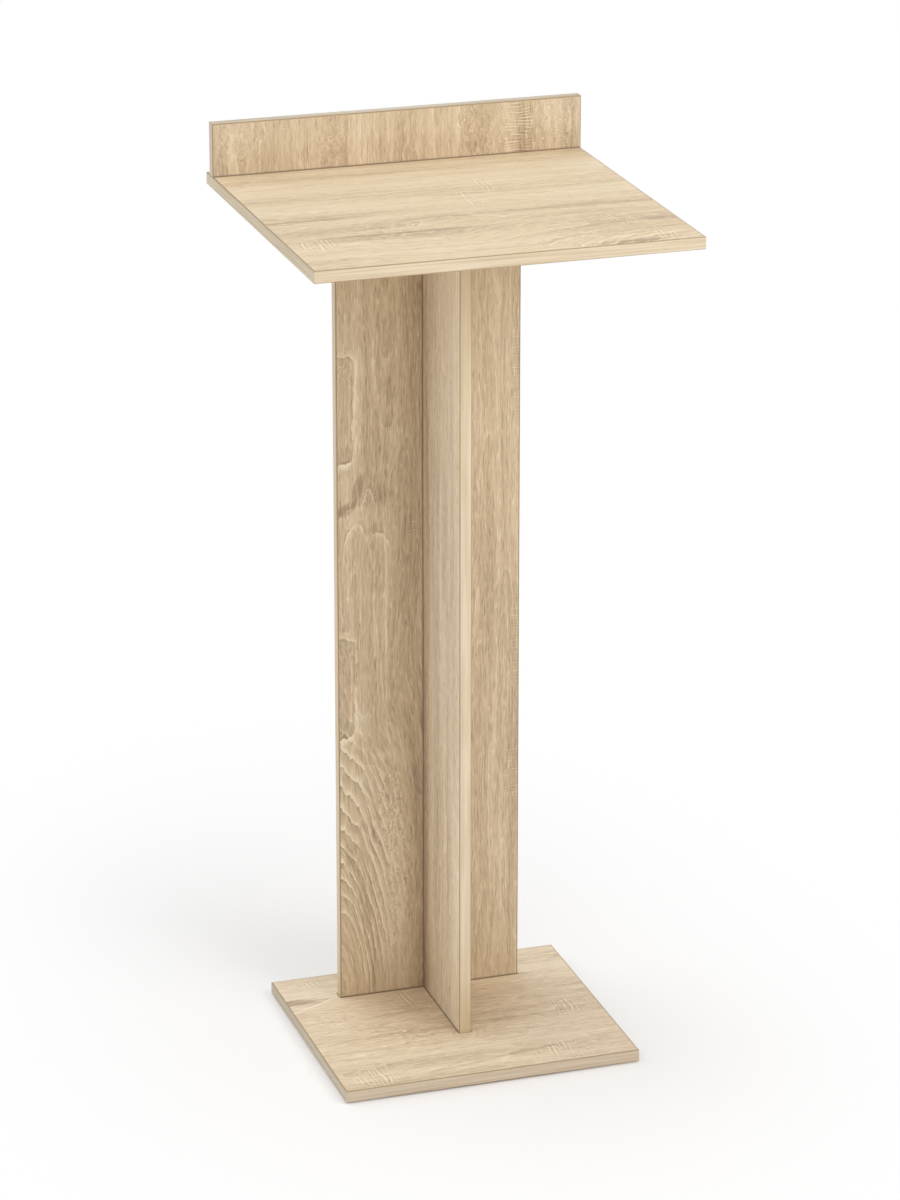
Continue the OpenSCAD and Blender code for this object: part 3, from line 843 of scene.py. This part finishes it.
def edge_band(node, outward, printed):
    """An edge band with its outer long edges trimmed round: print on its face, bare ABS on the rest."""
    low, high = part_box(node)
    size = high - low
    length_axis = max(range(3), key=lambda i: size[i])
    bpy.ops.object.select_all(action="DESELECT")
    bpy.ops.mesh.primitive_cube_add(size=1, location=(low + high) / 2, scale=size)
    band = bpy.context.object
    band.name = node + ".trimmed"
    bpy.ops.object.transform_apply(location=True, rotation=True, scale=True)
    bpy.ops.object.mode_set(mode="EDIT")
    mesh = bmesh.from_edit_mesh(band.data)
    mesh.select_mode = {"EDGE"}
    for part in (*mesh.verts, *mesh.edges, *mesh.faces):
        part.select = False
    outer = max(v.co.dot(outward) for v in mesh.verts)
    for edge in mesh.edges:
        first, second = edge.verts
        run = second.co - first.co
        on_face = all(abs(v.co.dot(outward) - outer) < 1e-6 for v in edge.verts)
        if on_face and abs(run[length_axis]) > 0.9 * run.length:
            edge.select = True
    mesh.select_flush_mode()
    bmesh.update_edit_mesh(band.data)
    bpy.ops.mesh.bevel(offset=TRIM_RADIUS, segments=TRIM_SEGMENTS, affect="EDGES")
    bpy.ops.object.mode_set(mode="OBJECT")
    band.data.materials.append(printed)
    band.data.materials.append(trimmed)
    for polygon in band.data.polygons:
        polygon.material_index = 0 if polygon.normal.dot(outward) > 0.99 else 1
    bpy.ops.object.shade_smooth_by_angle(angle=SMOOTH_ANGLE)
    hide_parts(node)
    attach(band, "lectern")


OUTWARD = {
    "front": (0, -1, 0),
    "back": (0, 1, 0),
    "left": (-1, 0, 0),
    "right": (1, 0, 0),
    "upper": (0, 0, 1),
}
BANDS = {
    desk_front_band: ("top_band_front", "top_band_back"),
    desk_side_band_shaded: ("top_band_left", "top_band_right"),
    base_front_band: ("base_band_front", "base_band_back"),
    base_side_band_shaded: ("base_band_left", "base_band_right"),
    column_band: ("panel_band_left", "panel_band_right"),
    fin_band: ("fin_band_front",),
    rail_upper_band: ("rail_band_upper",),
    rail_end_band: ("rail_band_left", "rail_band_right"),
}
for printed, names in BANDS.items():
    for name in names:
        edge_band(name, Vector(OUTWARD[name.rsplit("_", 1)[1]]), printed)


# ---------------------------------------------------------------- Fittings

yellow_steel = plated_metal("yellow-passivated screw steel", "#b79a55", "#d9c58a", 0.34, 2.5)
bright_steel = plated_metal("bright zinc-plated steel", "#b4b6ba", "#dcdee2", 0.28, 3.0)
cast_zinc = plated_metal("die-cast zinc", "#9a9a9d", "#bdbdc0", 0.46, 1.6)
brown_glide = moulded_plastic("moulded brown polyethylene", "#4a3426", "#5f4533", 0.5)
oak_cap = moulded_plastic("moulded oak-coloured cap", "#cdae85", "#d6b990", 0.45)
beech_upright = beech_dowel("turned beech", "z")

for node in ("base_panel_screws", "base_fin_screws", "fin_screws", "rail_screws"):
    finish(node, yellow_steel)
for node in ("panel_cam_bolts", "fin_cam_bolt", "glide_nails"):
    finish(node, bright_steel)
for node in ("panel_cam_left", "panel_cam_right", "fin_cam"):
    finish(node, cast_zinc)
for node in ("panel_dowels", "fin_dowels", "rail_dowels"):
    finish(node, beech_upright)
finish("glides", brown_glide)
finish("fin_screw_caps", oak_cap)


# ---------------------------------------------------------------- Floor, world and lamps

FLOOR_RADIUS = 14.0

# How far from the lectern's middle the floor's shade starts to pass into white, and where it is gone.
# It starts just under 0, so a trace of white is in it right at the middle. The way to the front and the
# back counts less, so the shade reaches further there.
SHADE_FULL = -0.03
SHADE_GONE = 0.74
SHADE_COUNTS = (1.0, 0.6, 1.0)

# From below, the floor glows under what lies closer to it than this
GLOW_GAP = 4 * MM
GLOW = 0.5


def is_seen(tree):
    """1 where the floor or the world is looked at, straight or in a reflection, and 0 where it lights."""
    path = add(tree, "LightPath")
    rays = [path.outputs[name] for name in ("Is Camera Ray", "Is Glossy Ray", "Is Transmission Ray")]
    seen = add(tree, "Math", {"operation": "MAXIMUM"}, {0: rays[0], 1: rays[1]})
    return add(tree, "Math", {"operation": "MAXIMUM"}, {0: seen, 1: rays[2]})


def white_floor():
    """Matt pale paint that keeps the lectern's shadow and passes into plain white further out."""
    material, tree, shader = new_material("matt pale floor")
    shader.inputs["Base Color"].default_value = linear("#fdfaf7")
    shader.inputs["Roughness"].default_value = 0.9
    place = add(tree, "TexCoord").outputs["Object"]
    squeezed = add(tree, "VectorMath", {"operation": "MULTIPLY"}, {0: place, 1: SHADE_COUNTS})
    distance = add(tree, "VectorMath", {"operation": "LENGTH"}, {0: squeezed})
    far = add(
        tree,
        "MapRange",
        {"interpolation_type": "SMOOTHSTEP"},
        {"Value": distance, "From Min": SHADE_FULL, "From Max": SHADE_GONE},
    )
    white = add(tree, "Emission", links={"Strength": 1.0})
    white_part = total(tree, (far, is_seen(tree), 1.0))
    mix = add(tree, "MixShader", links={0: white_part, 1: shader.outputs[0], 2: white})
    # from below the floor is clear, and glows a little right under the base, whose underside would be
    # black; seen from above it does neither
    path = add(tree, "LightPath")
    reach = path.outputs["Ray Length"]
    close = add(tree, "Math", {"operation": "LESS_THAN"}, {0: reach, 1: GLOW_GAP})
    passed = path.outputs["Transparent Depth"]
    through = add(tree, "Math", {"operation": "GREATER_THAN"}, {0: passed, 1: 0.5})
    glow = add(tree, "Emission", links={"Strength": GLOW})
    mix = add(tree, "MixShader", links={0: total(tree, (close, through, 1.0)), 1: mix, 2: glow})
    below = add(tree, "NewGeometry").outputs["Backfacing"]
    mix = add(tree, "MixShader", links={0: below, 1: mix, 2: add(tree, "BsdfTransparent")})
    tree.links.new(mix.outputs[0], tree.nodes["Material Output"].inputs["Surface"])
    return material


bpy.ops.object.select_all(action="DESELECT")
bpy.ops.mesh.primitive_circle_add(
    vertices=96, radius=FLOOR_RADIUS, fill_type="NGON", location=(0, 0, 0)
)
floor = bpy.context.object
floor.name = "floor"
floor.data.materials.append(white_floor())

# The studio's walls and ceiling as soft light: brightest overhead and from a window at the back left
OVERHEAD = 0.99
WINDOW = 1.62
WINDOW_FROM = Vector((-1.0, 1.0, 0.5)).normalized()
LOBES = (
    ((0, 0, 1), 2, OVERHEAD, "#f9fcff"),
    (WINDOW_FROM, 3, WINDOW, "#f6faff"),
)

world = bpy.data.worlds.new("studio")
bpy.context.scene.world = world
world.use_nodes = True
tree = world.node_tree
way = add(tree, "TexCoord").outputs["Generated"]
lobes = []
for toward, sharpness, strength, hue in LOBES:
    facing = add(tree, "VectorMath", {"operation": "DOT_PRODUCT"}, {0: way, 1: toward})
    facing = add(tree, "Math", {"operation": "MAXIMUM"}, {0: facing, 1: 0.0})
    facing = add(tree, "Math", {"operation": "POWER"}, {0: facing, 1: sharpness})
    level = total(tree, (facing, strength))
    lobes.append(add(tree, "Background", links={"Color": linear(hue), "Strength": level}))
light = add(tree, "AddShader", links={0: lobes[0], 1: lobes[1]})
white = tree.nodes["Background"]
white.inputs["Color"].default_value = (1, 1, 1, 1)
white.inputs["Strength"].default_value = 1.0
studio = add(tree, "MixShader", links={0: is_seen(tree), 1: light, 2: white})
tree.links.new(studio.outputs[0], tree.nodes["World Output"].inputs["Surface"])

SOFT_BOX_D = 2.2
SOFT_BOX_AIM = Vector((0.0, 0.0, 0.7))


def soft_box(name, place, power, hue):
    """A round soft box aimed at the column."""
    data = bpy.data.lights.new(name, "AREA")
    data.shape = "DISK"
    data.size = SOFT_BOX_D
    data.energy = power
    data.color = linear(hue)[:3]
    lamp = bpy.data.objects.new(name, data)
    bpy.context.scene.collection.objects.link(lamp)
    lamp.location = place
    lamp.rotation_mode = "QUATERNION"
    lamp.rotation_quaternion = (Vector(place) - SOFT_BOX_AIM).to_track_quat("Z", "Y")


soft_box("key", (1.6, -2.4, 2.6), 50.5, "#fdfeff")
soft_box("fill", (-1.6, -2.4, 2.6), 14.0, "#fcfdff")

bpy.context.scene.view_settings.view_transform = "Standard"
